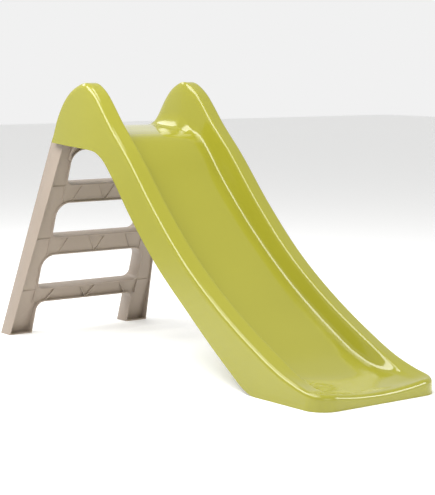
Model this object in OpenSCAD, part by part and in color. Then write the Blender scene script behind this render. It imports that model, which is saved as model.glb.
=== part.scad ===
// Wave slide for toddlers: a moulded chute with two side humps, and a moulded ladder that folds
// forward under the chute. The floor is z = 0. X runs from the ladder to the exit, and the model
// is built with x = 0 at the toes of the ladder, then moved so that x = 0 is the middle.

/* [Overall] */
// Length from the ladder's toes to the exit lip
exit_x = 1365; // [1250:1:1550]
// Height of the two humps above the floor
hump_top = 764; // [700:1:820]
// Half of the chute's width over its rims, at the humps
rim_half_w = 199; // [185:1:220]
// How much the half width has grown at the exit
exit_flare = 3; // [0:1:30]
// Wall thickness of the chute moulding
shell_wall = 4; // [3:0.5:6]

/* [Chute] */
// Distance from the toes to the rear edge of the humps, at its foot
rear_x = 170; // [160:1:185]
// Height of the rear edge, which the ladder butts against
rear_z = 592; // [570:1:610]
// Distance from the toes to the top of the humps
hump_x = 338; // [300:1:360]
// How much further forward the humps' rear faces are at their inner edges
rear_sweep = 32; // [20:1:60]
// Rise of the platform over the rear edge
platform_rise = 44; // [28:1:68]
// Half of the width of the flat chute floor
floor_half_w = 129; // [110:1:135]
// Half of the chute's width between the inner edges of the rims
channel_half_w = 155; // [145:1:165]
// Radius of the rims' outer edges
rim_round = 8; // [6:0.5:12]
// Slope of the skirts, as millimetres out for each millimetre down
skirt_slope = 0.04; // [0:0.01:0.2]
// Radius of the exit's corners, seen from above
exit_corner_r = 56; // [30:1:70]
// Height of the exit lip's corners
lip_corner_z = 38; // [30:1:45]
// Height of the middle of the exit lip
lip_mid_z = 27; // [20:1:34]

/* [Ladder] */
// Half of the ladder's width at its feet
foot_half_w = 251; // [230:1:270]
// Half of the ladder's width at its top edge
top_half_w = 184; // [176:1:188]
// Gap between the ladder's top edge and the chute's rear edge
butt_gap = 1.5; // [0.5:0.5:4]
// Forward lean of the ladder's front plane, as x for each millimetre of height
lean = 0.36; // [0.33:0.01:0.38]
// Depth of the ladder at the floor, from its back plate to its front
foot_depth = 52; // [45:1:60]
// Depth of the ladder at its top edge
top_depth = 68; // [60:1:75]
// Thickness of the ladder's back plate and flanges
ladder_wall = 3.5; // [3:0.5:5]
// Thickness of the ladder's inner ribs
rib_t = 2.5; // [2:0.5:3.5]
// Depth of the ladder's front web behind its front plane
web_depth = 6; // [5:1:12]
// Depth of the front web at the floor, where the feet are hollowed out
foot_recess = 26; // [15:1:35]
// Width of the rails
rail_w = 47; // [42:1:58]
// Width of the feet, seen from the front
foot_w = 78; // [65:1:85]
// Height of the lowest tread's top at its front
first_tread_z = 140; // [125:1:150]
// Height of a tread, from its underside to its top
tread_h = 54; // [45:1:62]
// Height of the bar across the ladder's top
top_bar_h = 24.5; // [20:0.5:32]
// Downward slope of the treads towards the chute, in degrees
tread_tilt = 9; // [0:1:12]
// Radius of the gaps' lower corners
gap_low_r = 22; // [15:1:30]
// Radius of the gaps' upper corners
gap_high_r = 40; // [30:1:50]
// Height of the arch between the feet
arch_h = 98; // [85:1:105]
// Radius of the arch's corners
arch_r = 24; // [18:1:40]

/* [Pivot] */
// Distance forward from the rear edge to the pivot's axis
pivot_in = 61; // [55:1:70]
// Rise of the pivot's axis over the rear edge
pivot_rise = 20; // [16:1:24]
// Radius of the pivot pins
pin_r = 6; // [5:0.5:7]
// Radial clearance of the pins in the ladder's ears
ear_fit = 0.1; // [0.05:0.05:0.3]
// Radial clearance of the pins in the chute's lugs
lug_fit = 0.05; // [0.02:0.01:0.1]
// Thickness of the chute's lugs
lug_t = 6; // [5:0.5:8]
// Thickness of the ladder's ears
ear_t = 8; // [6:0.5:10]
// Distance from the middle plane to the inner face of each lug
lug_y = 140; // [136:1:142]
// Outer radius of lugs and ears around the pin
eye_r = 18; // [15:0.5:20]
// Thickness of the washers
washer_t = 1.5; // [1:0.5:2]
// Outer radius of the washers
washer_r = 12; // [10:0.5:14]
// Radius of the pins' heads
head_r = 11; // [9:0.5:13]
// Thickness of the pins' heads
head_t = 4; // [3:0.5:5]
// Thickness of the clips
clip_t = 3; // [2:0.5:4]
// Running gap beside the ears
side_gap = 0.3; // [0.2:0.1:0.6]

/* [Hidden] */
$fn = 48;
mid_x = (exit_x - foot_depth) / 2;
platform_z = rear_z + platform_rise;
pivot_x = rear_x + pivot_in;
pivot_z = rear_z + pivot_rise;
ladder_top = rear_z - butt_gap;
tread_rise = (ladder_top - top_bar_h + tread_h - first_tread_z) / 3;
gap_h = tread_rise - tread_h;
SIDES = [-1, 1];
// Height of the sheet's upper face over the rear edge, and drop of the skirts below it
rear_lip = 2.2 * shell_wall;
rear_drop = 4;

// A smooth curve through a list of [x, z] points, read at x.
function find_span(pts, x, i = 0) = (i >= len(pts) - 2 || x < pts[i + 1][0]) ? i : find_span(pts, x, i + 1);
function secant(pts, i) = (pts[i + 1][1] - pts[i][1]) / (pts[i + 1][0] - pts[i][0]);
function slope_at(pts, i) =
    i == 0 ? secant(pts, 0)
    : i == len(pts) - 1 ? secant(pts, i - 1)
    : let (a = secant(pts, i - 1), b = secant(pts, i)) a * b <= 0 ? 0 : 2 * a * b / (a + b);
function curve(pts, x) =
    let (
        i = find_span(pts, x),
        w = pts[i + 1][0] - pts[i][0],
        t = (x - pts[i][0]) / w,
        m0 = slope_at(pts, i) * w,
        m1 = slope_at(pts, i + 1) * w
    )
    (2 * pow(t, 3) - 3 * t * t + 1) * pts[i][1] + (pow(t, 3) - 2 * t * t + t) * m0
    + (3 * t * t - 2 * pow(t, 3)) * pts[i + 1][1] + (pow(t, 3) - t * t) * m1;

// Outlines seen from the side. Each point is a share of the run from the humps' tops to the exit,
// or of the way from the rear edge to the humps' tops, and a share of the height.
function on_run(share) = hump_x + share * (exit_x - hump_x);
function on_rear(share) = rear_x + share * (hump_x - rear_x);
function rim_z(share) = lip_corner_z + share * (hump_top - lip_corner_z);
function bed_z(share) = lip_mid_z + share * (platform_z - lip_mid_z);
// The rims: up over the humps, then down the wave to the exit.
RIM = [
    [rear_x, rear_z + rear_lip], [on_rear(0.185), rim_z(0.868)], [on_rear(0.43), rim_z(0.942)],
    [on_rear(0.667), rim_z(0.979)], [hump_x, hump_top], [on_run(0.053), rim_z(0.966)],
    [on_run(0.087), rim_z(0.919)], [on_run(0.13), rim_z(0.851)], [on_run(0.217), rim_z(0.733)],
    [on_run(0.334), rim_z(0.554)], [on_run(0.472), rim_z(0.373)], [on_run(0.607), rim_z(0.238)],
    [on_run(0.747), rim_z(0.125)], [on_run(0.864), rim_z(0.047)], [on_run(0.944), rim_z(0.012)],
    [exit_x, lip_corner_z]
];
// The middle of the sliding surface: apron, platform, chute and exit.
BED = [
    [rear_x, rear_z + rear_lip], [on_rear(0.13), bed_z(0.989)], [on_rear(0.3), platform_z],
    [on_run(0.012), bed_z(0.984)], [on_run(0.092), bed_z(0.961)], [on_run(0.138), bed_z(0.895)],
    [on_run(0.204), bed_z(0.77)], [on_run(0.344), bed_z(0.54)], [on_run(0.503), bed_z(0.325)],
    [on_run(0.674), bed_z(0.146)], [on_run(0.771), bed_z(0.063)], [on_run(0.878), bed_z(0.012)],
    [exit_x, lip_mid_z]
];
// The skirts' lower edge.
EDGE = [
    [rear_x, rear_z - rear_drop], [on_rear(0.45), 0.986 * rear_z], [on_run(0.056), 0.97 * rear_z],
    [on_run(0.098), 0.939 * rear_z], [on_run(0.146), 0.86 * rear_z], [on_run(0.24), 0.677 * rear_z],
    [on_run(0.359), 0.476 * rear_z], [on_run(0.516), 0.267 * rear_z], [on_run(0.605), 0.155 * rear_z],
    [on_run(0.677), 0.071 * rear_z], [on_run(0.718), 0.025 * rear_z], [on_run(0.761), 0], [exit_x, 0]
];

// Share of the way from the bed up to the rim, at a distance from the middle: a straight wall
// with a curve at its foot and another at its top, each wall_curve of the wall's width.
wall_curve = 0.3;
function wall_foot(t) =
    t < wall_curve ? t * t / (2 * wall_curve * (1 - wall_curve))
    : (t - wall_curve / 2) / (1 - wall_curve);
function wall_share(y) =
    let (t = min(1, max(0, (y - floor_half_w) / (channel_half_w - floor_half_w))))
    t < 0.5 ? wall_foot(t) : 1 - wall_foot(1 - t);
// Steepness of the bed at x, for a wall of even thickness.
function bed_slant(x) = let (s = (curve(BED, x + 2) - curve(BED, x - 2)) / 4) sqrt(1 + s * s);
function rim_slant(x) = let (s = (curve(RIM, x + 2) - curve(RIM, x - 2)) / 4) sqrt(1 + s * s);
// Where the rims' outline is read for a point, so that the humps' rear faces sweep forward.
function rim_x(x, y) =
    let (
        inward = min(1, max(0, (rim_half_w - rim_round - y) / (rim_half_w - rim_round - channel_half_w))),
        behind = max(0, (hump_x - x) / (hump_x - rear_x))
    )
    max(rear_x, x - rear_sweep * inward * behind);
// Height of the sheet, a depth d under its upper face.
function sheet_z(x, y, d) =
    let (
        bed = curve(BED, x) - d * min(2.2, bed_slant(x)),
        at = rim_x(x, abs(y)),
        rim = curve(RIM, at) - d * min(2.2, rim_slant(at))
    )
    bed + (rim - bed) * wall_share(abs(y) - 2 * d / 3);
// Half width over the rims, which grows towards the exit.
function half_w(x) = rim_half_w + exit_flare * (x - rear_x) / (exit_x - rear_x);

// Rows of the sheet, each [x, angle round the exit's corners], closer together at the humps.
corner_x = exit_x - exit_corner_r;
inner_r = exit_corner_r - rim_round;
ROWS = concat(
    [for (k = [0 : 17]) [rear_x + 15 * k, 0]],
    [for (k = [1 : 21]) let (x0 = rear_x + 15 * 17) [x0 + (corner_x - x0) * k / 21, 0]],
    [for (a = [22.5 : 22.5 : 90]) [corner_x + inner_r * sin(a), a]]
);
// Columns of the sheet, as distances from the middle at the humps.
HALF = concat(
    [0, floor_half_w / 2],
    [for (k = [0 : 6]) floor_half_w + (channel_half_w - floor_half_w) * k / 6],
    [(channel_half_w + rim_half_w - rim_round) / 2, rim_half_w - rim_round]
);
COLS = concat([for (k = [len(HALF) - 1 : -1 : 1]) -HALF[k]], HALF);
n_rows = len(ROWS);
n_cols = len(COLS);

function row_half_w(row) = half_w(row[0]) - exit_corner_r + inner_r * cos(row[1]);
function sheet_point(i, j, d) =
    [ROWS[i][0], COLS[j] * row_half_w(ROWS[i]) / HALF[len(HALF) - 1], sheet_z(ROWS[i][0], COLS[j], d)];

// The border that the skirt hangs from, down one side, across the exit and back up the other.
// Each entry is [row, column, outward direction].
BORDER = concat(
    [for (i = [0 : n_rows - 1]) [i, 0, [sin(ROWS[i][1]), -cos(ROWS[i][1])]]],
    [for (j = [1 : n_cols - 2]) [n_rows - 1, j, [1, 0]]],
    [for (i = [n_rows - 1 : -1 : 0]) [i, n_cols - 1, [sin(ROWS[i][1]), cos(ROWS[i][1])]]]
);
n_border = len(BORDER);
// The skirt under one border point: two steps round the edge, then down to the lower edge.
function skirt_point(b, level, d) =
    let (
        p = sheet_point(BORDER[b][0], BORDER[b][1], d),
        low = curve(EDGE, p[0]),
        h = p[2] - low,
        r = rim_round - d,
        drop = min(rim_round, h / 2),
        out = level == 1 ? r * sin(45) : level == 2 ? r
            : r + skirt_slope * (h - drop) * abs(BORDER[b][2][1]),
        z = level == 1 ? p[2] - drop * (1 - cos(45)) : level == 2 ? p[2] - drop : low
    )
    [p[0] + out * BORDER[b][2][0], p[1] + out * BORDER[b][2][1], z];
function skin(d) = concat(
    [for (i = [0 : n_rows - 1]) for (j = [0 : n_cols - 1]) sheet_point(i, j, d)],
    [for (level = [1 : 3]) for (b = [0 : n_border - 1]) skirt_point(b, level, d)]
);
n_skin = n_rows * n_cols + 3 * n_border;
function at_sheet(i, j) = i * n_cols + j;
function at_skirt(b, level) =
    level == 0 ? at_sheet(BORDER[b][0], BORDER[b][1])
    : n_rows * n_cols + (level - 1) * n_border + b;
function quad(a, b, c, d) = [[a, b, c], [a, c, d]];
function flip(f) = [f[2], f[1], f[0]];
SKIN_FACES = concat(
    [for (i = [0 : n_rows - 2]) for (j = [0 : n_cols - 2])
        each quad(at_sheet(i, j), at_sheet(i, j + 1), at_sheet(i + 1, j + 1), at_sheet(i + 1, j))],
    [for (level = [0 : 2]) for (b = [0 : n_border - 2])
        each quad(at_skirt(b, level), at_skirt(b + 1, level),
            at_skirt(b + 1, level + 1), at_skirt(b, level + 1))]
);
// The rear edge, from one skirt's corner up, across and down to the other.
REAR = concat(
    [for (level = [3 : -1 : 1]) at_skirt(0, level)],
    [for (j = [0 : n_cols - 1]) at_sheet(0, j)],
    [for (level = [1 : 3]) at_skirt(n_border - 1, level)]
);
EDGE_FACES = concat(
    [for (b = [0 : n_border - 2])
        each quad(at_skirt(b, 3), at_skirt(b + 1, 3), at_skirt(b + 1, 3) + n_skin, at_skirt(b, 3) + n_skin)],
    [for (k = [0 : len(REAR) - 2]) each quad(REAR[k + 1], REAR[k], REAR[k] + n_skin, REAR[k + 1] + n_skin)]
);

// Moves the model so that the middle of its length is x = 0.
module placed() {
    translate([-mid_x, 0, 0]) children();
}
// A side view outline, extruded across from y0 to y1.
module side_plate(y0, y1) {
    translate([0, y1, 0]) rotate([90, 0, 0]) linear_extrude(y1 - y0) children();
}
// A round bar or hole on the pivot's axis, from y0 to y1 on one side.
module pivot_bar(side, r, y0, y1) {
    translate([pivot_x, side * (y0 + y1) / 2, pivot_z])
        rotate([90, 0, 0]) cylinder(h = y1 - y0, r = r, center = true);
}

washer_y = lug_y + lug_t;
ear_y = washer_y + washer_t + side_gap;
head_y = ear_y + ear_t + side_gap;
clip_y = lug_y - clip_t;
pin_end = clip_y - 3;

// The lugs under the platform that hold the pins.
LUG_XS = [for (k = [0 : 6]) pivot_x - eye_r + (2 * eye_r + 20) * k / 6];
module lug_outline() {
    translate([pivot_x, pivot_z]) circle(r = eye_r);
    polygon(concat(
        [[pivot_x + eye_r, pivot_z], [pivot_x - eye_r, pivot_z]],
        [for (x = LUG_XS) [x, sheet_z(x, lug_y, shell_wall / 2)]]
    ));
}
module slide_shell() {
    color("yellowgreen") placed() difference() {
        union() {
            polyhedron(
                points = concat(skin(0), skin(shell_wall)),
                faces = concat(SKIN_FACES, [for (f = SKIN_FACES) flip(f + [n_skin, n_skin, n_skin])], EDGE_FACES)
            );
            for (side = SIDES)
                side_plate(side > 0 ? lug_y : -lug_y - lug_t, side > 0 ? lug_y + lug_t : -lug_y)
                    lug_outline();
        }
        for (side = SIDES) pivot_bar(side, pin_r + lug_fit, lug_y - 1, lug_y + lug_t + 1);
    }
}

// The ladder's side view: front plane, back plane and top edge.
back_lean = lean - (top_depth - foot_depth) / ladder_top;
function front_x(z) = lean * z;
function back_x(z) = back_lean * z - foot_depth;
// Height along the tilted front view of a point on the front plane.
function lift(z) = z * (cos(tread_tilt) + lean * sin(tread_tilt));
splay = (foot_half_w - top_half_w) / lift(ladder_top);
function outer_y(s) = foot_half_w - splay * s;
// Extrudes a front view outline along the direction in which the treads slope.
module across() {
    rotate([0, tread_tilt, 0]) rotate([90, 0, 90])
        translate([0, 0, -300]) linear_extrude(800) children();
}
function corner(cy, cs, r, a0, a1) = [for (k = [0 : 6]) let (a = a0 + (a1 - a0) * k / 6)
    [cy + r * cos(a), cs + r * sin(a)]];
function mirrored(pts) = [for (k = [len(pts) - 1 : -1 : 0]) [-pts[k][0], pts[k][1]]];
// Half the width of the gap above a tread, whose sides are upright.
function gap_half_w(z) = outer_y(lift(z + gap_h / 2)) - rail_w;
// The gap above a tread, made larger all round by grow.
module gap_outline(z, grow) {
    s0 = lift(z) - grow;
    s1 = lift(z + gap_h) + grow;
    y = gap_half_w(z) + grow;
    right = concat(
        corner(y - gap_low_r - grow, s0 + gap_low_r + grow, gap_low_r + grow, -90, 0),
        corner(y - gap_high_r - grow, s1 - gap_high_r - grow, gap_high_r + grow, 0, 90)
    );
    polygon(concat(right, mirrored(right)));
}
module arch_outline(grow) {
    y = foot_half_w - foot_w + grow;
    s = lift(arch_h) + grow;
    right = concat([[y, -60]], corner(y - arch_r - grow, s - arch_r - grow, arch_r + grow, 0, 90));
    polygon(concat(right, mirrored(right)));
}
TREADS = [for (k = [0 : 2]) first_tread_z + k * tread_rise];
module ladder_openings(grow) {
    for (z = TREADS) gap_outline(z, grow);
    arch_outline(grow);
}
module rails_outline(inset) {
    top = lift(ladder_top) + 60;
    polygon([
        [-outer_y(-60) + inset, -60], [outer_y(-60) - inset, -60],
        [outer_y(top) - inset, top], [-outer_y(top) + inset, top]
    ]);
}
// The wedge between two planes parallel to the ladder's front and back.
module wedge(back_in, front_out, low, high) {
    side_plate(-foot_half_w - 20, foot_half_w + 20) polygon([
        [back_x(low) + back_in, low], [front_x(low) + front_out, low],
        [front_x(high) + front_out, high], [back_x(high) + back_in, high]
    ]);
}
// A straight rib seen from the front, between two [y, s] points.
module rib(a, b) {
    v = b - a;
    n = [-v[1], v[0]] * rib_t / 2 / norm(v);
    polygon([a - n, b - n, b + n, a + n]);
}
// Undersides of the three treads, from the lowest up.
function under_z(k) = k == 0 ? arch_h : TREADS[k] - tread_h;
// Slanted gussets inside each tread: a V in the middle and one near each end.
gusset_run = 30;
rib_rise = 3;
module ladder_ribs() {
    for (k = [0 : 2]) {
        low = lift(under_z(k));
        high = lift(TREADS[k]);
        reach = gap_half_w(TREADS[k]);
        for (side = SIDES) {
            rib([side * (reach + ladder_wall), low - ladder_wall], [side * (reach + ladder_wall), high]);
            rib([side * outer_y(high), high - ladder_wall], [side * reach, high - ladder_wall]);
            rib([0, low], [side * gusset_run, high]);
            rib([side * 0.8 * reach, low], [side * (0.8 * reach - gusset_run), high]);
        }
    }
}
// The front web, a little behind the front plane and deeper in the feet.
module front_web() {
    t = rib_t / cos(atan(lean));
    intersection() {
        side_plate(-foot_half_w, foot_half_w) polygon([
            [front_x(0) - foot_recess, 0], [front_x(first_tread_z) - web_depth, first_tread_z],
            [front_x(ladder_top) - web_depth, ladder_top],
            [front_x(ladder_top) - web_depth - t, ladder_top],
            [front_x(first_tread_z) - web_depth - t, first_tread_z], [front_x(0) - foot_recess - t, 0]
        ]);
        across() difference() {
            rails_outline(ladder_wall / 2);
            ladder_openings(ladder_wall / 2);
        }
    }
}
// The ears that reach up under the platform to the pins.
ear_foot_z = pivot_z - 77;
module ear_outline() {
    z1 = ladder_top - ladder_wall;
    translate([pivot_x, pivot_z]) circle(r = eye_r);
    polygon([
        [back_x(ear_foot_z) + ladder_wall - 1, ear_foot_z], [front_x(ear_foot_z), ear_foot_z],
        [front_x(ear_foot_z + 20), ear_foot_z + 20],
        [pivot_x + eye_r * cos(20), pivot_z - eye_r * sin(20)],
        [pivot_x - eye_r * cos(20), pivot_z + eye_r * sin(20)],
        [front_x(z1) - 14, ladder_top], [back_x(z1) + ladder_wall - 1, z1]
    ]);
}
module ladder_frame() {
    color("tan") placed() difference() {
        union() {
            difference() {
                intersection() {
                    wedge(0, 0, 0, ladder_top);
                    across() difference() {
                        rails_outline(0);
                        ladder_openings(0);
                    }
                }
                difference() {
                    intersection() {
                        wedge(ladder_wall, 40, ladder_wall, ladder_top - ladder_wall);
                        across() difference() {
                            rails_outline(ladder_wall);
                            ladder_openings(ladder_wall);
                        }
                    }
                    intersection() {
                        wedge(0, rib_rise - web_depth, 0, ladder_top);
                        across() ladder_ribs();
                    }
                    front_web();
                }
            }
            for (side = SIDES)
                side_plate(side > 0 ? ear_y : -ear_y - ear_t, side > 0 ? ear_y + ear_t : -ear_y)
                    ear_outline();
        }
        for (side = SIDES) pivot_bar(side, pin_r + ear_fit, ear_y - 1, ear_y + ear_t + 1);
    }
}

module pivot_pins() {
    color("dimgray") placed() for (side = SIDES) {
        pivot_bar(side, pin_r, pin_end, head_y + 1);
        pivot_bar(side, head_r, head_y, head_y + head_t);
    }
}
module pivot_washers() {
    color("silver") placed() for (side = SIDES) difference() {
        pivot_bar(side, washer_r, washer_y, washer_y + washer_t);
        pivot_bar(side, pin_r + lug_fit, washer_y - 1, washer_y + washer_t + 1);
    }
}
module pivot_clips() {
    color("silver") placed() for (side = SIDES) difference() {
        pivot_bar(side, washer_r, clip_y, clip_y + clip_t);
        pivot_bar(side, pin_r, clip_y - 1, clip_y + clip_t + 1);
    }
}

slide_shell();
ladder_frame();
pivot_pins();
pivot_washers();
pivot_clips();
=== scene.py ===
# %% [markdown]
# # A wave slide for toddlers
# The slide has two big mouldings. The lime one is the chute, with its platform, two humps to hold
# on to, side skirts and an exit lip, all in one sheet. The taupe one is the ladder, which turns on
# two steel pins under the platform, so it folds forward under the chute. A slide could be drawn
# from nothing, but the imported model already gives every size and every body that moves. So it is
# loaded first, as a fixed frame, and this lesson builds the fine surfaces around it.

# %% Load the fixed frame
from functools import lru_cache
import math

import bmesh
import bpy
from mathutils import Matrix, Vector


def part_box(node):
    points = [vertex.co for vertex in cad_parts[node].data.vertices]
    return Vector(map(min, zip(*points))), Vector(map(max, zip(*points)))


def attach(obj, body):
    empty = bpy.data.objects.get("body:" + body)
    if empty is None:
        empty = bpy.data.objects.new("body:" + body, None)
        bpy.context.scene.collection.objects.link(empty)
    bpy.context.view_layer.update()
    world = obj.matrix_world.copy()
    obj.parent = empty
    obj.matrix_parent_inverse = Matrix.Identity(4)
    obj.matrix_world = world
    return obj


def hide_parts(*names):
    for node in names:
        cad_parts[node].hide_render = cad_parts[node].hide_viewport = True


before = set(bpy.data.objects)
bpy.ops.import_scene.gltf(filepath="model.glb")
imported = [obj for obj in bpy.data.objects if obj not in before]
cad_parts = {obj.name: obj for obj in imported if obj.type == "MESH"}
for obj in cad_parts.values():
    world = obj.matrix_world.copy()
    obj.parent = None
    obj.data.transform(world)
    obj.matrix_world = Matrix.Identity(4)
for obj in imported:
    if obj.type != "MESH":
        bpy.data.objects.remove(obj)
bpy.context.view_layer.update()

# %% [markdown]
# ## The camera
# The camera stands in front of the slide and to its right, a little above the humps. A long lens
# from far away keeps the rails nearly parallel. It could be aimed with a Track To constraint, but
# that can't say a small roll. So its three directions are worked out from a heading, a downward
# tilt and a roll, and its matrix is set in one go.

# %% Camera
CAMERA_PLACE = Vector((3.4012, -2.5712, 0.8286))
HEADING, DOWN_TILT, ROLL = (math.radians(a) for a in (52.52, 6.89, 0.14))
LENS_MM, SENSOR_MM = 113.0, 36.0

back = Vector((math.sin(HEADING) * math.cos(DOWN_TILT), -math.cos(HEADING) * math.cos(DOWN_TILT),
               math.sin(DOWN_TILT)))
right = Vector((math.cos(HEADING), math.sin(HEADING), 0.0))
up = back.cross(right)
rolled_right = right * math.cos(ROLL) + up * math.sin(ROLL)
rolled_up = up * math.cos(ROLL) - right * math.sin(ROLL)

camera_data = bpy.data.cameras.new("camera")
camera_data.lens = LENS_MM
camera_data.sensor_width = SENSOR_MM
camera = bpy.data.objects.new("camera", camera_data)
turn = Matrix((rolled_right, rolled_up, back)).transposed().to_4x4()
camera.matrix_world = Matrix.Translation(CAMERA_PLACE) @ turn
bpy.context.collection.objects.link(camera)
bpy.context.scene.camera = camera
print("camera at", tuple(CAMERA_PLACE), "lens", LENS_MM)

# %% [markdown]
# ## The floor
# A product like this stands on a plain pale studio floor. A curved sweep would hide the horizon,
# but it is only right from the front, and this slide is looked at from all sides. So the floor is
# one very large flat grid. It glows faintly, to stay nearly white beside the bright plastic.

# %% Floor
FLOOR_REACH, FLOOR_COLOUR = 14.0, (0.88, 0.88, 0.87)
FLOOR_ROUGHNESS, FLOOR_GLOW = 0.7, 0.17
WHITE = (1.0, 1.0, 1.0, 1.0)
bpy.context.scene.view_settings.view_transform = "Standard"


def new_nodes(name):
    """A new material, its node tree and its shader."""
    material = bpy.data.materials.new(name)
    material.use_nodes = True
    tree = material.node_tree
    return material, tree, tree.nodes["Principled BSDF"]


floor_bm = bmesh.new()
bmesh.ops.create_grid(floor_bm, x_segments=1, y_segments=1, size=FLOOR_REACH)
floor_mesh = bpy.data.meshes.new("studio_floor")
floor_bm.to_mesh(floor_mesh)
floor_bm.free()
floor = bpy.data.objects.new("studio_floor", floor_mesh)
bpy.context.collection.objects.link(floor)
pale_floor, _, floor_shader = new_nodes("pale_floor")
floor_shader.inputs["Base Color"].default_value = (*FLOOR_COLOUR, 1.0)
floor_shader.inputs["Roughness"].default_value = FLOOR_ROUGHNESS
floor_shader.inputs["Emission Color"].default_value = WHITE
floor_shader.inputs["Emission Strength"].default_value = FLOOR_GLOW
floor_mesh.materials.append(pale_floor)
print("floor reaches", FLOOR_REACH, "m each way")

# %% [markdown]
# ## The sky
# White walls all round give a studio its soft light. A plain white world could stand for them, but
# it makes glossy plastic look flat. So the sky is brightest at the horizon and dimmer overhead,
# and the faces that look up keep a deeper colour than the sides.

# %% Sky
FADE_START, FADE_END = 0.1, 0.7
SKY_LOW, SKY_HIGH = 0.88, 0.6

sky = bpy.data.worlds.new("white_studio")
sky.use_nodes = True
sky_tree = sky.node_tree
sky_coords = sky_tree.nodes.new("ShaderNodeTexCoord")
sky_split = sky_tree.nodes.new("ShaderNodeSeparateXYZ")
sky_fade = sky_tree.nodes.new("ShaderNodeMapRange")
sky_fade.interpolation_type = "SMOOTHSTEP"
for socket, value in (("From Min", FADE_START), ("From Max", FADE_END),
                      ("To Min", SKY_LOW), ("To Max", SKY_HIGH)):
    sky_fade.inputs[socket].default_value = value
background = sky_tree.nodes["Background"]
background.inputs["Color"].default_value = WHITE
sky_tree.links.new(sky_coords.outputs["Generated"], sky_split.inputs["Vector"])
sky_tree.links.new(sky_split.outputs["Z"], sky_fade.inputs["Value"])
sky_tree.links.new(sky_fade.outputs["Result"], background.inputs["Strength"])
bpy.context.scene.world = sky
print("sky strength", SKY_LOW, "at the horizon,", SKY_HIGH, "overhead")

# %% [markdown]
# ## The softboxes
# Thin lines of light run along the slide's rounded edges. Each is the mirror image of a lamp, so a
# lamp stands where its edge reflects it to the camera. Spot lamps would give hard sparks, so these
# are area lights. The long one over the near side draws the lines on the rims and at the foot of
# the far wall. One right above brightens the platform, one behind lights the hollow at the foot of
# the humps, one in front opens up the ladder, and one to the left of the exit lights its lip.

# %% Softboxes
def softbox(name, place, aim, width, height, watts):
    """A rectangular area light at a place, aimed at a point."""
    data = bpy.data.lights.new(name, "AREA")
    data.shape = "RECTANGLE"
    data.size, data.size_y, data.energy = width, height, watts
    lamp = bpy.data.objects.new(name, data)
    aimed = (Vector(aim) - Vector(place)).to_track_quat("-Z", "Y")
    lamp.matrix_world = Matrix.Translation(place) @ aimed.to_matrix().to_4x4()
    bpy.context.collection.objects.link(lamp)
    print("softbox", name, "at", place, "power", watts)


softbox("overhead_softbox", (-0.15, -1.5, 2.6), (-0.15, 0.0, 0.35), 3.5, 1.4, 118)
softbox("top_softbox", (-0.3, 0.1, 2.7), (-0.3, 0.0, 0.6), 1.0, 0.8, 13)
softbox("rear_softbox", (-2.4, -0.4, 2.2), (-0.35, 0.0, 0.6), 1.4, 0.45, 10)
softbox("front_softbox", (3.6, -0.8, 1.5), (-0.5, 0.0, 0.3), 1.8, 1.4, 18)
softbox("lip_softbox", (2.3, 1.6, 1.2), (0.65, 0.0, 0.03), 0.9, 0.9, 24)

# %% [markdown]
# ## Patterns for the finishes
# No moulding has one even colour or one even gloss. A painted image could show that, but it would
# need unwrapping, and a pattern made of nodes has no seams and no smallest detail. These helpers
# make a noise, and turn it into a range of numbers or of colours. The noise reads Object
# coordinates, so it stays fixed to its piece when the ladder folds.

# %% Pattern helpers
NOISE_LOW, NOISE_HIGH = 0.3, 0.7


def noise(tree, scale, detail, stretch=(1.0, 1.0, 1.0)):
    """A noise pattern on Object coordinates, stretched along the axes."""
    coords = tree.nodes.new("ShaderNodeTexCoord")
    mapping = tree.nodes.new("ShaderNodeMapping")
    mapping.inputs["Scale"].default_value = stretch
    texture = tree.nodes.new("ShaderNodeTexNoise")
    texture.inputs["Scale"].default_value = scale
    texture.inputs["Detail"].default_value = detail
    tree.links.new(coords.outputs["Object"], mapping.inputs["Vector"])
    tree.links.new(mapping.outputs["Vector"], texture.inputs["Vector"])
    return texture.outputs["Fac"]


def span(tree, value, low, high):
    """Maps a pattern's value to the range from low to high."""
    node = tree.nodes.new("ShaderNodeMapRange")
    for socket, number in (("From Min", NOISE_LOW), ("From Max", NOISE_HIGH),
                           ("To Min", low), ("To Max", high)):
        node.inputs[socket].default_value = number
    tree.links.new(value, node.inputs["Value"])
    return node.outputs["Result"]


def tint(tree, value, dark, light):
    """Blends two colours by a pattern."""
    ramp = tree.nodes.new("ShaderNodeValToRGB")
    for stop, colour, position in zip(ramp.color_ramp.elements, (dark, light),
                                      (NOISE_LOW, NOISE_HIGH)):
        stop.color, stop.position = (*colour, 1.0), position
    tree.links.new(value, ramp.inputs["Fac"])
    return ramp.outputs["Color"]


print("a noise mostly lies between", NOISE_LOW, "and", NOISE_HIGH)

# %% [markdown]
# ## Bumps
# A moulding's skin has waves and grain far too small to model. They could be displaced geometry,
# but that takes millions of faces. A Bump node only tilts the light's reflection, which is all
# that can be seen of them. Two or more are stacked, each at its own scale, one after the other.

# %% Bump helper
def bumps(tree, shader, layers):
    """Stacks bumps, each given as (height, strength, depth in metres)."""
    normal = None
    for height, strength, depth in layers:
        node = tree.nodes.new("ShaderNodeBump")
        node.inputs["Strength"].default_value = strength
        node.inputs["Distance"].default_value = depth
        tree.links.new(height, node.inputs["Height"])
        if normal:
            tree.links.new(normal, node.inputs["Normal"])
        normal = node.outputs["Normal"]
    tree.links.new(normal, shader.inputs["Normal"])


print("bumps are given as height, strength and depth in metres")

# %% [markdown]
# ## Lime plastic
# The chute's plastic comes glossy from a polished mould. A low roughness alone would look like
# glass, so three faint patterns are added. A wide ripple bends the reflections, as on any thin
# moulding, and a fine peel breaks them up. Scuffs that run along the slide dull it a little where
# children slide. A thin clear coat keeps the lines of light sharp over all that.

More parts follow.
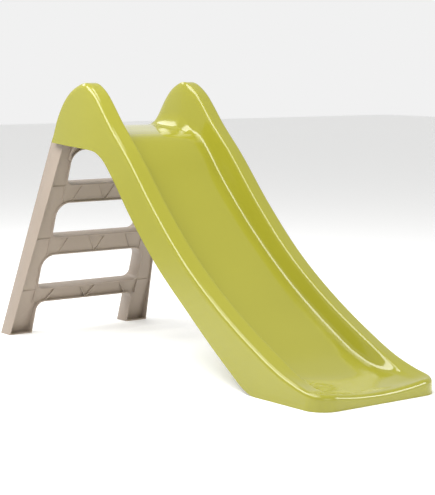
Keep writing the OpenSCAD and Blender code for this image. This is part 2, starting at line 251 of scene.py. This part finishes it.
# %% Lime plastic
LIME_DARK, LIME_LIGHT = (0.25, 0.239, 0.02), (0.265, 0.253, 0.023)
POLISHED, SCUFFED = 0.09, 0.14
SCUFF_STRETCH = (0.08, 1.0, 0.08)
LIME_IOR, LIME_COAT, LIME_COAT_ROUGHNESS = 1.47, 0.15, 0.04
LIME_RIPPLE, LIME_PEEL = (0.03, 0.004), (0.04, 0.0004)


def lime_plastic():
    material, tree, shader = new_nodes("lime_plastic")
    mottle = noise(tree, scale=2.5, detail=2.0)
    tree.links.new(tint(tree, mottle, LIME_DARK, LIME_LIGHT), shader.inputs["Base Color"])
    scuffs = noise(tree, scale=60.0, detail=6.0, stretch=SCUFF_STRETCH)
    tree.links.new(span(tree, scuffs, POLISHED, SCUFFED), shader.inputs["Roughness"])
    shader.inputs["IOR"].default_value = LIME_IOR
    shader.inputs["Coat Weight"].default_value = LIME_COAT
    shader.inputs["Coat Roughness"].default_value = LIME_COAT_ROUGHNESS
    ripple = noise(tree, scale=9.0, detail=1.0)
    peel = noise(tree, scale=260.0, detail=2.0)
    bumps(tree, shader, [(ripple, *LIME_RIPPLE), (peel, *LIME_PEEL)])
    return material


lime = lime_plastic()
print("material", lime.name, "roughness", POLISHED, "to", SCUFFED)

# %% [markdown]
# ## Taupe plastic
# The ladder's plastic is satin, because its mould is etched, and the grain gives small feet a
# grip. The grain could be left to roughness alone, but close up it has to catch the light. So a
# very fine bump makes it, and a second, wide bump shows how the plastic flowed and sank a little.

# %% Taupe plastic
TAUPE_DARK, TAUPE_LIGHT = (0.285, 0.233, 0.187), (0.312, 0.256, 0.207)
SATIN, WORN_SATIN = 0.38, 0.5
TAUPE_IOR, TAUPE_FLOW, TAUPE_GRAIN = 1.49, (0.1, 0.003), (0.25, 0.0003)


def taupe_plastic():
    material, tree, shader = new_nodes("taupe_plastic")
    mottle = noise(tree, scale=5.0, detail=4.0)
    tree.links.new(tint(tree, mottle, TAUPE_DARK, TAUPE_LIGHT), shader.inputs["Base Color"])
    wear = noise(tree, scale=35.0, detail=5.0)
    tree.links.new(span(tree, wear, SATIN, WORN_SATIN), shader.inputs["Roughness"])
    shader.inputs["IOR"].default_value = TAUPE_IOR
    grain = noise(tree, scale=1400.0, detail=3.0)
    flow = noise(tree, scale=14.0, detail=2.0)
    bumps(tree, shader, [(flow, *TAUPE_FLOW), (grain, *TAUPE_GRAIN)])
    return material


taupe = taupe_plastic()
print("material", taupe.name, "roughness", SATIN, "to", WORN_SATIN)

# %% [markdown]
# ## Plated steel
# The pins, washers and clips are small steel parts with a thin layer of zinc. Zinc soon dulls
# unevenly, so the colour and the gloss both vary in small patches. A plain grey metal would do
# from far away, but close up the patches are what makes it look plated.

# %% Plated steel
ZINC_DARK, ZINC_LIGHT = (0.5, 0.51, 0.53), (0.68, 0.68, 0.66)
ZINC_BRIGHT, ZINC_DULL = 0.25, 0.42


def plated_steel():
    material, tree, shader = new_nodes("plated_steel")
    crystals = noise(tree, scale=90.0, detail=4.0)
    tree.links.new(tint(tree, crystals, ZINC_DARK, ZINC_LIGHT), shader.inputs["Base Color"])
    shader.inputs["Metallic"].default_value = 1.0
    haze = noise(tree, scale=400.0, detail=3.0)
    tree.links.new(span(tree, haze, ZINC_BRIGHT, ZINC_DULL), shader.inputs["Roughness"])
    return material


steel = plated_steel()
print("material", steel.name, "roughness", ZINC_BRIGHT, "to", ZINC_DULL)

# %% [markdown]
# ## The chute's three curves
# Seen from the side, the whole moulding follows three curves: the rims, which rise over the humps
# and fall in a wave; the bed that a child sits and slides on; and the skirts' lower edge. They
# could be Bezier curves, but then their handles would have to be matched by hand. Here a curve
# goes through a few points, and takes its slope at each from the points beside it, so it never
# overshoots them. Lengths are in millimetres from the ladder's toes, as in the part itself.

# %% A smooth curve through points
EXIT_X, HUMP_X, REAR_X = 1365.0, 338.0, 170.0
HUMP_TOP, PLATFORM_Z, REAR_Z = 764.0, 636.0, 592.0
LIP_CORNER_Z, LIP_MID_Z, WALL = 38.0, 27.0, 4.0
REAR_RISE, REAR_EDGE_DROP = 2.2 * WALL, 4.0
MID_X = EXIT_X - 1000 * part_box("slide_shell")[1][0]


def curve(points, x):
    """Reads a smooth curve through points, without overshoot, at x."""
    last = len(points) - 2
    i = next((k for k in range(last) if x < points[k + 1][0]), last)

    def secant(k):
        return (points[k + 1][1] - points[k][1]) / (points[k + 1][0] - points[k][0])

    def slope(k):
        if k == 0 or k == last + 1:
            return secant(min(k, last))
        a, b = secant(k - 1), secant(k)
        return 0.0 if a * b <= 0 else 2 * a * b / (a + b)

    (x0, z0), (x1, z1) = points[i], points[i + 1]
    width = x1 - x0
    t = (x - x0) / width
    return ((2 * t**3 - 3 * t**2 + 1) * z0 + (t**3 - 2 * t**2 + t) * slope(i) * width
            + (3 * t**2 - 2 * t**3) * z1 + (t**3 - t**2) * slope(i + 1) * width)


print("the chute runs from", REAR_X, "to", EXIT_X, "mm, with its humps' tops at", HUMP_X)

# %% [markdown]
# ## The curves' points
# On the real slide the rim, the bed and the skirt's edge change slope together, at the platform's
# end and where the chute flattens out. Their points could be plain millimetres, but a change of
# length would then spoil the wave. So each point is a share of the run and a share of the height.

# %% Rim, bed and skirt edge
def points_of(rows, low, high):
    """Points from (where, share, height share): where is 0 behind the humps' tops and 1 after."""
    made = []
    for after, share, height in rows:
        x = HUMP_X + share * (EXIT_X - HUMP_X) if after else REAR_X + share * (HUMP_X - REAR_X)
        made.append((x, low + height * (high - low)))
    return made


REAR_TOP = (REAR_X, REAR_Z + REAR_RISE)
RIM = [REAR_TOP] + points_of([
    (0, 0.185, 0.868), (0, 0.43, 0.942), (0, 0.667, 0.979), (1, 0, 1), (1, 0.053, 0.966),
    (1, 0.087, 0.919), (1, 0.13, 0.851), (1, 0.217, 0.733), (1, 0.334, 0.554), (1, 0.472, 0.373),
    (1, 0.607, 0.238), (1, 0.747, 0.125), (1, 0.864, 0.047), (1, 0.944, 0.012), (1, 1, 0),
], LIP_CORNER_Z, HUMP_TOP)
BED = [REAR_TOP] + points_of([
    (0, 0.13, 0.989), (0, 0.3, 1), (1, 0.012, 0.984), (1, 0.092, 0.961), (1, 0.138, 0.895),
    (1, 0.204, 0.77), (1, 0.344, 0.54), (1, 0.503, 0.325), (1, 0.674, 0.146), (1, 0.771, 0.063),
    (1, 0.878, 0.012), (1, 1, 0),
], LIP_MID_Z, PLATFORM_Z)
EDGE = [(REAR_X, REAR_Z - REAR_EDGE_DROP)] + points_of([
    (0, 0.45, 0.986), (1, 0.056, 0.97), (1, 0.098, 0.939), (1, 0.146, 0.86), (1, 0.24, 0.677),
    (1, 0.359, 0.476), (1, 0.516, 0.267), (1, 0.605, 0.155), (1, 0.677, 0.071), (1, 0.718, 0.025),
    (1, 0.761, 0), (1, 1, 0),
], 0.0, REAR_Z)
CURVES = {"rim": RIM, "bed": BED, "edge": EDGE}
print("rims", len(RIM), "points, bed", len(BED), "points, skirt edge", len(EDGE), "points")

# %% [markdown]
# ## Fairing the curves
# Mould makers fair a curve, so that its bend changes gently and a line of light on it doesn't
# wobble. The points could be nudged by eye, but averaging is surer: each height is a weighted mean
# of the heights a little way before and after it. A cache keeps the answers, as many are reused.

# %% Faired heights
FAIR_REACH, FAIR_STEPS = 18.0, 3


@lru_cache(maxsize=None)
def height_of(name, x):
    """A curve's height at x, averaged over a short stretch so that its bends change gently."""
    points = CURVES[name]
    reach = max(0.0, min(FAIR_REACH, x - points[0][0], points[-1][0] - x))
    total = share = 0.0
    for k in range(-FAIR_STEPS, FAIR_STEPS + 1):
        weight = FAIR_STEPS + 1 - abs(k)
        total += weight * curve(points, x + reach * k / FAIR_STEPS)
        share += weight
    return total / share


print("bed at the humps' tops is", round(height_of("bed", HUMP_X), 1), "mm up")

# %% [markdown]
# ## Soft humps, open exit
# The moulding changes its character along the way. The humps are soft, made to be held, the chute
# between them and the exit is crisp, and at the exit its walls lie down into a shallow dish. One
# profile could be swept along the slide, but it would be the same all the way. So two measures are
# read at each place, how soft and how open the chute is there, and both fade in smoothly.

# %% How soft and how open
EDGE_R, HUMP_EDGE_R = 12.0, 17.0
SOFT_RUN, DISH_START, DISH_RUN = 110.0, 210.0, 180.0


def ease(t):
    """0 up to t = 0, 1 from t = 1, and a smooth step between."""
    t = min(1.0, max(0.0, t))
    return t * t * (3 - 2 * t)


def softness(x):
    """1 on the humps, 0 on the chute."""
    return 1 - ease((x - HUMP_X) / SOFT_RUN)


def openness(x):
    """0 on the chute, 1 at the exit, where the walls lie down into a shallow dish."""
    return ease((x - EXIT_X + DISH_START) / DISH_RUN)


def edge_radius(x):
    """Radius of the curve from the rim down into the skirt."""
    return EDGE_R + (HUMP_EDGE_R - EDGE_R) * softness(x)


print("the exit's dish starts", DISH_START, "mm before the lip")

# %% [markdown]
# ## Across the chute
# A cut across the chute is a flat floor, a curve up into a steep wall, a tighter curve over to the
# rim, and a rim that falls a little outward. On the humps the foot of the wall starts nearer to
# the middle, and a low bead runs along the exit's lip. The curves could be cut in afterwards with
# bevels, but a bevel can't grow from one place to the next. So the sheet's height is worked out at
# each place instead. The humps' rear faces also sweep forward towards the middle.

# %% Height across the chute
FLOOR_HALF, CHANNEL_HALF, RIM_HALF = 129.0, 155.0, 199.0
BORDER_HALF, RIM_FALL = RIM_HALF - EDGE_R, 5.0
FOOT_SHARE, HUMP_FOOT_SHARE, TOP_SHARE, HUMP_FILLET = 0.42, 0.52, 0.28, 20.0
LIP_BEAD, BEAD_INSET, BEAD_WIDTH = 1.0, 20.0, 10.0
REAR_SWEEP, SWEEP_BLEND = 32.0, 14.0


def wall_share(y, x):
    """Share of the way up from the bed to the rim, at y from the middle."""
    soft, opened = softness(x), openness(x)
    start = FLOOR_HALF - HUMP_FILLET * soft
    t = min(1.0, max(0.0, (y - start) / (CHANNEL_HALF - start)))
    foot, top = FOOT_SHARE + (HUMP_FOOT_SHARE - FOOT_SHARE) * soft, TOP_SHARE
    rise = 1 / (1 - foot / 2 - top / 2)
    if t < foot:
        share = rise * t * t / (2 * foot)
    elif t > 1 - top:
        share = 1 - rise * (1 - t) ** 2 / (2 * top)
    else:
        share = rise * (t - foot / 2)
    return share + (min(1.0, y / BORDER_HALF) ** 2 - share) * opened


def rim_x(x, y):
    """Where the rim's curve is read: further back towards the middle, behind the humps' tops."""
    inward = min(1.0, max(0.0, (BORDER_HALF - y) / (BORDER_HALF - CHANNEL_HALF)))
    behind = max(0.0, (HUMP_X - x) / (HUMP_X - REAR_X))
    ahead = x - REAR_SWEEP * inward * behind - REAR_X
    blend = min(SWEEP_BLEND, 0.5 * (x - REAR_X))
    return REAR_X + (ahead + math.hypot(ahead, blend)) / 2


def sheet_height(x, y):
    """Height of the sheet's upper face."""
    y = abs(y)
    bead = LIP_BEAD * math.exp(-((EXIT_X - BEAD_INSET - x) / BEAD_WIDTH) ** 2)
    bed = height_of("bed", x) + bead
    outer = max(0.0, (y - CHANNEL_HALF) / (BORDER_HALF - CHANNEL_HALF))
    fall = RIM_FALL * outer * (1 - softness(x)) * (1 - openness(x))
    return bed + (height_of("rim", rim_x(x, y)) - bed) * wall_share(y, x) - fall


def place(x, y, z):
    """A point in the frame's metres, from millimetres measured at the ladder's toes."""
    return Vector(((x - MID_X) / 1000, y / 1000, z / 1000))


print("wall rises from", FLOOR_HALF, "to", CHANNEL_HALF, "mm from the middle")

# %% [markdown]
# ## Where the sheet's points go
# The chute's upper face is one sheet from the rear edge to the lip. A few faces and a Subdivision
# Surface would give a smooth sheet too, but not one that follows the three curves exactly. So it
# is a fine grid. Its rows are spread along the slide and bunch up round the exit's two corners,
# and its columns are closest together on the walls, where the sheet bends most.

# %% Rows and columns
CORNER_R = 56.0
STRAIGHT_ROWS, CORNER_ROWS = 220, 10
FLOOR_COLUMNS, WALL_COLUMNS, RIM_COLUMNS = 12, 16, 7
corner_x = EXIT_X - CORNER_R
rows = [(REAR_X + (corner_x - REAR_X) * k / STRAIGHT_ROWS, 0.0) for k in range(STRAIGHT_ROWS + 1)]
for k in range(1, CORNER_ROWS + 1):
    angle = math.radians(90 * k / CORNER_ROWS)
    rows.append((corner_x + (CORNER_R - EDGE_R) * math.sin(angle), angle))


def evenly(start, end, steps):
    """Points from start up to, but not with, end."""
    return [start + (end - start) * k / steps for k in range(steps)]


half = (evenly(0.0, FLOOR_HALF, FLOOR_COLUMNS) + evenly(FLOOR_HALF, CHANNEL_HALF, WALL_COLUMNS)
        + evenly(CHANNEL_HALF, BORDER_HALF, RIM_COLUMNS) + [BORDER_HALF])
columns = [-y for y in reversed(half[1:])] + half
print(len(rows), "rows by", len(columns), "columns")

# %% [markdown]
# ## The border
# The chute is a little wider at the exit than at the top, and its lip has round corners. They
# could be cut from a straight sheet, but the cut would cross the faces and leave slivers. Instead
# the grid is squeezed to the border's width at each row, so its edge runs round the corners.

# %% Places of the points
EXIT_FLARE = 3.0


def border_half(x, angle):
    """Half the width of the sheet's border at x, or at an angle round the exit's corner."""
    full = RIM_HALF + EXIT_FLARE * (x - REAR_X) / (EXIT_X - REAR_X)
    if angle == 0:
        return full - edge_radius(x)
    return full - CORNER_R + (CORNER_R - EDGE_R) * math.cos(angle)


def sheet_point(row, column):
    """The place of one point of the grid, in millimetres."""
    (x, angle), y = rows[row], columns[column]
    limit = border_half(x, angle)
    if angle == 0 and abs(y) > CHANNEL_HALF:
        share = (abs(y) - CHANNEL_HALF) / (BORDER_HALF - CHANNEL_HALF)
        across = math.copysign(CHANNEL_HALF + share * (limit - CHANNEL_HALF), y)
    elif angle == 0:
        across = y
    else:
        across = y * limit / BORDER_HALF
    return Vector((x, across, sheet_height(x, y)))


print("border is", round(2 * border_half(REAR_X, 0), 1), "mm wide at the rear edge")

# %% [markdown]
# ## The sheet
# The platform, the bed, the walls and the rims are one surface with no seam. It could be built
# strip by strip, but `create_grid` gives the whole even sheet in one go, with every face in order.
# Each of its points is then put in its own place. The points on the border are kept, each with the
# direction that faces away from the sheet, for the next step.

# %% Sheet
GRID_HALF = 0.5


def grid_sheet(bm):
    """An even grid with each point put at its row and column. Gives the border's directions."""
    last_row, last_column = len(rows) - 1, len(columns) - 1
    bmesh.ops.create_grid(bm, x_segments=last_row, y_segments=last_column, size=GRID_HALF)
    border = {}
    for vert in bm.verts:
        row = round((vert.co.x + GRID_HALF) * last_row)
        column = round((vert.co.y + GRID_HALF) * last_column)
        vert.co = sheet_point(row, column)
        angle = rows[row][1]
        if column in (0, last_column):
            side = -1 if column == 0 else 1
            border[vert] = Vector((math.sin(angle), side * math.cos(angle), 0))
        elif row == last_row:
            border[vert] = Vector((1, 0, 0))
    return border


chute_bm = bmesh.new()
ring = {vert: (vert.co.copy(), out) for vert, out in grid_sheet(chute_bm).items()}
print("sheet", len(chute_bm.faces), "faces, border", len(ring), "points")

# %% [markdown]
# ## The skirts
# The skirts hide the ladder's pivot and stiffen the chute. They could be a second piece, but a
# seam would show in the line of light along the rim. So they grow out of the sheet: its border's
# edges are extruded again and again, first round the rim's outer curve, then down to the lower
# edge. They stop just clear of the floor.

# %% Skirts
SPOT_DIGITS, SKIRT_SLOPE = 4, 0.04
ROLL_STEPS, DROP_STEPS, FLOOR_GAP = 7, 9, 0.3


def spot(vert):
    """A point's place, rounded, by which an extruded copy finds the point that it came from."""
    return tuple(round(c, SPOT_DIGITS) for c in vert.co)


def grow_ring(bm, ring, target):
    """Extrudes the ring's edges and moves each new point to target(record)."""
    edges = [e for e in bm.edges if len(e.link_faces) == 1 and all(v in ring for v in e.verts)]
    records = {spot(vert): record for vert, record in ring.items()}
    made = bmesh.ops.extrude_edge_only(bm, edges=edges)["geom"]
    grown = {g: records[spot(g)] for g in made if isinstance(g, bmesh.types.BMVert)}
    for vert, record in grown.items():
        vert.co = target(record)
    return grown


def skirt_point(record, step):
    """Where a border point goes at a step: round the curve first, then down the skirt."""
    start, out = record
    low = max(FLOOR_GAP, height_of("edge", start.x))
    height = start.z - low
    radius = edge_radius(start.x)
    drop = min(radius, height / 2)
    if step <= ROLL_STEPS:
        angle = math.radians(90 * step / ROLL_STEPS)
        turned = Vector((0, 0, drop * (1 - math.cos(angle))))
        return start + out * radius * math.sin(angle) - turned
    share = (step - ROLL_STEPS) / DROP_STEPS
    spread = radius + SKIRT_SLOPE * (height - drop) * share * abs(out.y)
    return start + out * spread - Vector((0, 0, drop + (height - drop) * share))


for step in range(1, ROLL_STEPS + DROP_STEPS + 1):
    ring = grow_ring(chute_bm, ring, lambda record: skirt_point(record, step))
for vert in chute_bm.verts:
    vert.co = place(*vert.co)
print("chute sheet", len(chute_bm.verts), "points", len(chute_bm.faces), "faces")

# %% [markdown]
# ## A wall and rounded edges
# The real chute is a thin shell, open underneath. The inner face could be modelled as well, but
# the Solidify modifier makes it from the outer one, one wall's thickness away. A small bevel
# then rounds each cut edge, because a real edge is never knife sharp and catches some light. One
# helper does this for every piece, and puts the piece on the body that it moves with.

# %% Finish a piece
BEVEL_STEPS, BEVEL_FROM = 2, math.radians(40)
SHEET_BEVEL = 0.0012


def finish_piece(bm, name, material, body, wall=0.0, bevel=0.0):
    """Makes an object of a bmesh, with a wall and rounded edges, and puts it on its body."""
    bmesh.ops.recalc_face_normals(bm, faces=bm.faces)
    if wall and max(bm.faces, key=lambda f: f.calc_center_median().z).normal.z < 0:
        bmesh.ops.reverse_faces(bm, faces=bm.faces)
    mesh = bpy.data.meshes.new(name)
    bm.to_mesh(mesh)
    bm.free()
    mesh.polygons.foreach_set("use_smooth", [True] * len(mesh.polygons))
    mesh.materials.append(material)
    piece = bpy.data.objects.new(name, mesh)
    bpy.context.collection.objects.link(piece)
    if wall:
        solid = piece.modifiers.new("wall", "SOLIDIFY")
        solid.thickness, solid.offset, solid.use_even_offset = wall, -1.0, False
    if bevel:
        round_off = piece.modifiers.new("rounded_edges", "BEVEL")
        round_off.width, round_off.segments = bevel, BEVEL_STEPS
        round_off.limit_method, round_off.angle_limit = "ANGLE", BEVEL_FROM
        round_off.harden_normals = True
    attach(piece, body)
    print(name, len(mesh.polygons), "faces")
    return piece


chute = finish_piece(chute_bm, "chute_moulding", lime, "chute",
                     wall=WALL / 1000, bevel=SHEET_BEVEL)
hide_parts("slide_shell")

# %% [markdown]
# ## The ladder
# The ladder is one hollow moulding, with two rails, three treads, two feet and two ears. Between
# its front edges lies a web, a little further back, with low ribs under the treads. It could be
# built again from planes, but its CAD mesh already has the right shape, and only its edges are too
# sharp. So a copy is merged, its closed hollows are dropped, its flat faces are joined up, and a
# bevel rounds each edge by about a millimetre.

# %% Softened copies
MERGE_WITHIN, FLAT_WITHIN = 0.00002, math.radians(0.6)
LADDER_BEVEL = 0.0012


def drop_hollows(bm):
    """Keeps the shell that holds the widest point. The closed hollows inside are never seen."""
    reached, waiting = set(), [max(bm.verts, key=lambda vert: vert.co.y)]
    while waiting:
        vert = waiting.pop()
        if vert not in reached:
            reached.add(vert)
            waiting += [edge.other_vert(vert) for edge in vert.link_edges]
    bmesh.ops.delete(bm, geom=[v for v in bm.verts if v not in reached], context="VERTS")


def softened(node, name, material, body, bevel, hollow=False):
    """A copy of a CAD piece with its flat faces joined up and its edges rounded."""
    bm = bmesh.new()
    bm.from_mesh(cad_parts[node].data)
    bmesh.ops.remove_doubles(bm, verts=bm.verts, dist=MERGE_WITHIN)
    if hollow:
        drop_hollows(bm)
    bmesh.ops.dissolve_limit(bm, angle_limit=FLAT_WITHIN, verts=bm.verts, edges=bm.edges)
    piece = finish_piece(bm, name, material, body, bevel=bevel)
    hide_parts(node)


softened("ladder_frame", "ladder_moulding", taupe, "ladder", LADDER_BEVEL,
         hollow=True)

# %% [markdown]
# ## The pin lugs
# Under the platform two lugs hold the ladder's pins. They are moulded with the chute, so they are
# lime too. A plate with a hole could be cut with a Boolean, but that leaves untidy faces. Each lug
# starts as two circles instead, the bore and the eye. The circles are bridged, the faces between
# them are extruded to the lug's thickness, and the eye's upper half is moved up to the sheet.

# %% Pin lugs
PIVOT_X, PIVOT_Z, BORE_R, EYE_R, LUG_Y, LUG_T = 231.0, 612.0, 6.05, 18.0, 140.0, 6.0
LUG_STEPS, LUG_RUN, LUG_BEVEL, TOUCH = 48, 20.0, 0.0008, 0.01


def lug_point(co, side):
    """From the lug's own plane to the slide. The upper half of the eye reaches up to the sheet."""
    y = LUG_Y + co.z
    x, z = PIVOT_X + co.x, PIVOT_Z + co.y
    if math.hypot(co.x, co.y) > EYE_R - TOUCH and co.y > TOUCH:
        x += LUG_RUN * (1 + co.x / EYE_R) / 2
        z = sheet_height(x, y) - WALL / 2
    return place(x, side * y, z)


for side, name in ((-1, "right_pin_lug"), (1, "left_pin_lug")):
    lug_bm = bmesh.new()
    bmesh.ops.create_circle(lug_bm, segments=LUG_STEPS, radius=BORE_R)
    bmesh.ops.create_circle(lug_bm, segments=LUG_STEPS, radius=EYE_R)
    bmesh.ops.bridge_loops(lug_bm, edges=lug_bm.edges[:])
    grown = bmesh.ops.extrude_face_region(lug_bm, geom=lug_bm.faces[:])["geom"]
    for vert in (g for g in grown if isinstance(g, bmesh.types.BMVert)):
        vert.co.z += LUG_T
    for vert in lug_bm.verts:
        vert.co = lug_point(vert.co, side)
    finish_piece(lug_bm, name, lime, "chute", bevel=LUG_BEVEL)

# %% [markdown]
# ## Pins, washers and clips
# Each side of the ladder turns on a headed steel pin. A washer keeps the ladder's ear off the lug,
# and a clip on the pin's end holds them together. They are turned or stamped parts with simple
# shapes, so the CAD meshes are right, and the same softening gives them their small chamfers.

# %% Pins, washers and clips
PIN_BEVEL, THIN_BEVEL = 0.0005, 0.0003

softened("pivot_pins", "steel_pins", steel, "chute", PIN_BEVEL)
softened("pivot_washers", "steel_washers", steel, "chute", THIN_BEVEL)
softened("pivot_clips", "steel_clips", steel, "chute", THIN_BEVEL)
